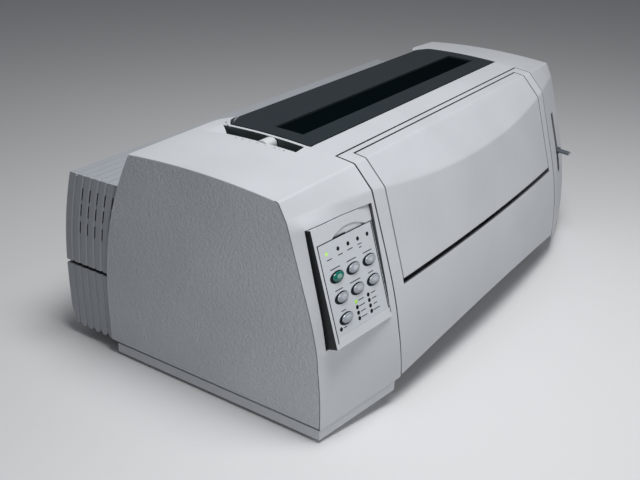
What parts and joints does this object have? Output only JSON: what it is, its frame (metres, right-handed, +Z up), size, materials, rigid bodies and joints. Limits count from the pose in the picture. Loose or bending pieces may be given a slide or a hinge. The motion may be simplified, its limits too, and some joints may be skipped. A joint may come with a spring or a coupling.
{
  "type": "dot matrix printer",
  "caption": "Desktop dot matrix printer: bowed casing, hinged front door, lid and tractor cover, carriage with print head, geared platen and tractors, key panel.",
  "frame": {"origin": "on the desk, under the middle of the outline, with the platen knob counted", "axes": "+X along the platen towards the knob, the front faces -Y, +Z up"},
  "size_m": [0.608, 0.3557, 0.24],
  "materials": {
    "casing_plastic": "fine-textured pale cool grey moulding",
    "side_plastic": "coarser pebbled grey moulding",
    "cover_plastic": "fine-textured pale grey moulding",
    "charcoal_plastic": "textured charcoal moulding",
    "window": "glossy black sheet",
    "sheet_steel": "zinc-plated sheet",
    "turned_steel": "ground bright shaft",
    "platen_rubber": "ground rubber",
    "natural_nylon": "off-white nylon",
    "black_plastic": "black moulding",
    "foot_rubber": "soft rubber",
    "motor_metal": "motor casing",
    "circuit_board": "solder-masked board",
    "panel_film": "satin printed film",
    "key_grey": "glossy grey key",
    "key_teal": "glossy teal key",
    "lamp_lime": "lit lamp",
    "lamp_dark": "unlit lamp",
    "lever_grey": "mid-grey lever",
    "lever_white": "pale rounded lever",
    "head_metal": "dark cast head with fins",
    "belt_rubber": "toothed belt",
    "contact_metal": "plated shell"
  },
  "bodies": {
    "chassis": {"base_pan": "casing_plastic", "feet": "foot_rubber", "upper_casing": "casing_plastic", "front_cover": "cover_plastic", "rear_cover": "side_plastic", "left_frame": "sheet_steel", "right_frame": "sheet_steel", "frame_screws": "turned_steel", "front_rail": "sheet_steel", "guide_shaft": "turned_steel", "paper_guide": "charcoal_plastic", "tear_bar": "charcoal_plastic", "platen_bushes": "natural_nylon", "feed_motor": "motor_metal", "tractor_rod": "turned_steel", "carriage_belt": "belt_rubber", "carriage_motor": "motor_metal", "logic_board": "circuit_board", "power_supply": "circuit_board", "panel_housing": "casing_plastic", "panel_overlay": "panel_film", "panel_board": "circuit_board", "lamps_lit": "lamp_lime", "lamps_dark": "lamp_dark", "power_inlet": "black_plastic", "data_connector": "contact_metal"},
    "door": {"front_door": "cover_plastic"},
    "lid": {"ribbon_lid": "charcoal_plastic", "lid_window": "window"},
    "tractor_cover": {"tractor_cover": "side_plastic"},
    "platen": {"platen": "platen_rubber", "platen_shaft": "turned_steel", "platen_gear": "natural_nylon", "platen_knob": "charcoal_plastic"},
    "pinion": {"feed_pinion": "natural_nylon"},
    "idler": {"idler_gear": "natural_nylon"},
    "tractor_drive": {"tractor_shaft": "turned_steel", "tractor_gear": "natural_nylon"},
    "left_tractor": {"left_tractor": "black_plastic"},
    "left_sprocket": {"left_sprocket": "natural_nylon"},
    "left_tractor_door": {"left_tractor_door": "black_plastic"},
    "right_tractor": {"right_tractor": "black_plastic"},
    "right_sprocket": {"right_sprocket": "natural_nylon"},
    "right_tractor_door": {"right_tractor_door": "black_plastic"},
    "carriage": {"carriage": "black_plastic", "print_head": "head_metal", "ribbon_cartridge": "black_plastic"},
    "motor_pulley": {"motor_pulley": "natural_nylon"},
    "idler_pulley": {"idler_pulley": "natural_nylon"},
    "paper_lever": {"paper_lever": "lever_grey"},
    "gap_lever": {"gap_lever": "lever_white"},
    "power_switch": {"power_switch": "black_plastic"},
    "start_key": {"start_key": "key_teal"},
    "key_2": {"key_2": "key_grey"},
    "key_3": {"key_3": "key_grey"},
    "key_4": {"key_4": "key_grey"},
    "key_5": {"key_5": "key_grey"},
    "key_6": {"key_6": "key_grey"},
    "key_7": {"key_7": "key_grey"}
  },
  "joints": [
    {"name": "front_door_hinge", "type": "hinge", "parent": "chassis", "child": "door", "pos_m": [-0.009, -0.10425, 0.2287], "axis": [-1, 0, 0], "range_deg": [0, 80]},
    {"name": "ribbon_lid_hinge", "type": "hinge", "parent": "chassis", "child": "lid", "pos_m": [-0.009, 0.01935, 0.23688], "axis": [-1, 0, 0], "range_deg": [0, 95]},
    {"name": "tractor_cover_hinge", "type": "hinge", "parent": "chassis", "child": "tractor_cover", "pos_m": [-0.009, 0.17041, 0.0935], "axis": [-1, 0, 0], "range_deg": [0, 75]},
    {"name": "platen_spin", "type": "hinge", "parent": "chassis", "child": "platen", "pos_m": [-0.009, 0.00585, 0.173], "axis": [1, 0, 0], "continuous": true},
    {"name": "idler_spin", "type": "hinge", "parent": "chassis", "child": "idler", "pos_m": [0.217, 0.04663, 0.15398], "axis": [1, 0, 0], "continuous": true},
    {"name": "pinion_spin", "type": "hinge", "parent": "chassis", "child": "pinion", "pos_m": [0.217, 0.03142, 0.12136], "axis": [1, 0, 0], "continuous": true},
    {"name": "tractor_spin", "type": "hinge", "parent": "chassis", "child": "tractor_drive", "pos_m": [-0.009, 0.0847, 0.13623], "axis": [1, 0, 0], "continuous": true},
    {"name": "left_tractor_slide", "type": "slide", "parent": "chassis", "child": "left_tractor", "axis": [1, 0, 0], "range_m": [-0.02, 0.06]},
    {"name": "left_sprocket_spin", "type": "hinge", "parent": "left_tractor", "child": "left_sprocket", "pos_m": [-0.159, 0.0847, 0.13623], "axis": [1, 0, 0], "continuous": true},
    {"name": "left_tractor_door_hinge", "type": "hinge", "parent": "left_tractor", "child": "left_tractor_door", "pos_m": [-0.1698, 0.0847, 0.15173], "axis": [0, -1, 0], "range_deg": [0, 110]},
    {"name": "right_tractor_slide", "type": "slide", "parent": "chassis", "child": "right_tractor", "axis": [1, 0, 0], "range_m": [-0.11, 0.02]},
    {"name": "right_sprocket_spin", "type": "hinge", "parent": "right_tractor", "child": "right_sprocket", "pos_m": [0.141, 0.0847, 0.13623], "axis": [1, 0, 0], "continuous": true},
    {"name": "right_tractor_door_hinge", "type": "hinge", "parent": "right_tractor", "child": "right_tractor_door", "pos_m": [0.1518, 0.0847, 0.15173], "axis": [0, 1, 0], "range_deg": [0, 110]},
    {"name": "carriage_slide", "type": "slide", "parent": "chassis", "child": "carriage", "axis": [1, 0, 0], "range_m": [-0.15, 0.15]},
    {"name": "motor_pulley_spin", "type": "hinge", "parent": "chassis", "child": "motor_pulley", "pos_m": [-0.205, -0.06315, 0.122], "axis": [0, 0, 1], "continuous": true},
    {"name": "idler_pulley_spin", "type": "hinge", "parent": "chassis", "child": "idler_pulley", "pos_m": [0.187, -0.06315, 0.122], "axis": [0, 0, 1], "continuous": true},
    {"name": "start_key_press", "type": "slide", "parent": "chassis", "child": "start_key", "axis": [0.0997, 0.9485, -0.3007], "range_m": [0, 0.0015], "stiffness_N_per_m": 350, "springref_m": -0.0006},
    {"name": "key_2_press", "type": "slide", "parent": "chassis", "child": "key_2", "axis": [0.0997, 0.9485, -0.3007], "range_m": [0, 0.0015], "stiffness_N_per_m": 350, "springref_m": -0.0006},
    {"name": "key_3_press", "type": "slide", "parent": "chassis", "child": "key_3", "axis": [0.0997, 0.9485, -0.3007], "range_m": [0, 0.0015], "stiffness_N_per_m": 350, "springref_m": -0.0006},
    {"name": "key_4_press", "type": "slide", "parent": "chassis", "child": "key_4", "axis": [0.0997, 0.9485, -0.3007], "range_m": [0, 0.0015], "stiffness_N_per_m": 350, "springref_m": -0.0006},
    {"name": "key_5_press", "type": "slide", "parent": "chassis", "child": "key_5", "axis": [0.0997, 0.9485, -0.3007], "range_m": [0, 0.0015], "stiffness_N_per_m": 350, "springref_m": -0.0006},
    {"name": "key_6_press", "type": "slide", "parent": "chassis", "child": "key_6", "axis": [0.0997, 0.9485, -0.3007], "range_m": [0, 0.0015], "stiffness_N_per_m": 350, "springref_m": -0.0006},
    {"name": "key_7_press", "type": "slide", "parent": "chassis", "child": "key_7", "axis": [0.0997, 0.9485, -0.3007], "range_m": [0, 0.0015], "stiffness_N_per_m": 350, "springref_m": -0.0006},
    {"name": "paper_lever_hinge", "type": "hinge", "parent": "chassis", "child": "paper_lever", "pos_m": [0.241, -0.09915, 0.128], "axis": [-1, 0, 0], "range_deg": [0, 32]},
    {"name": "gap_lever_hinge", "type": "hinge", "parent": "chassis", "child": "gap_lever", "pos_m": [-0.228, -0.02615, 0.163], "axis": [-1, 0, 0], "range_deg": [-15, 25]},
    {"name": "power_switch_rock", "type": "hinge", "parent": "chassis", "child": "power_switch", "pos_m": [-0.189, 0.16765, 0.0455], "axis": [1, 0, 0], "range_deg": [0, 10]}
  ],
  "couplings": [
    {"joint": "idler_spin", "follows": "platen_spin", "ratio": -0.875},
    {"joint": "pinion_spin", "follows": "platen_spin", "ratio": 1.75},
    {"joint": "tractor_spin", "follows": "platen_spin", "ratio": 1.1667},
    {"joint": "left_sprocket_spin", "follows": "platen_spin", "ratio": 1.1667},
    {"joint": "right_sprocket_spin", "follows": "platen_spin", "ratio": 1.1667},
    {"joint": "motor_pulley_spin", "follows": "carriage_slide", "rad_per_m": -131.58},
    {"joint": "idler_pulley_spin", "follows": "carriage_slide", "rad_per_m": -131.58}
  ]
}
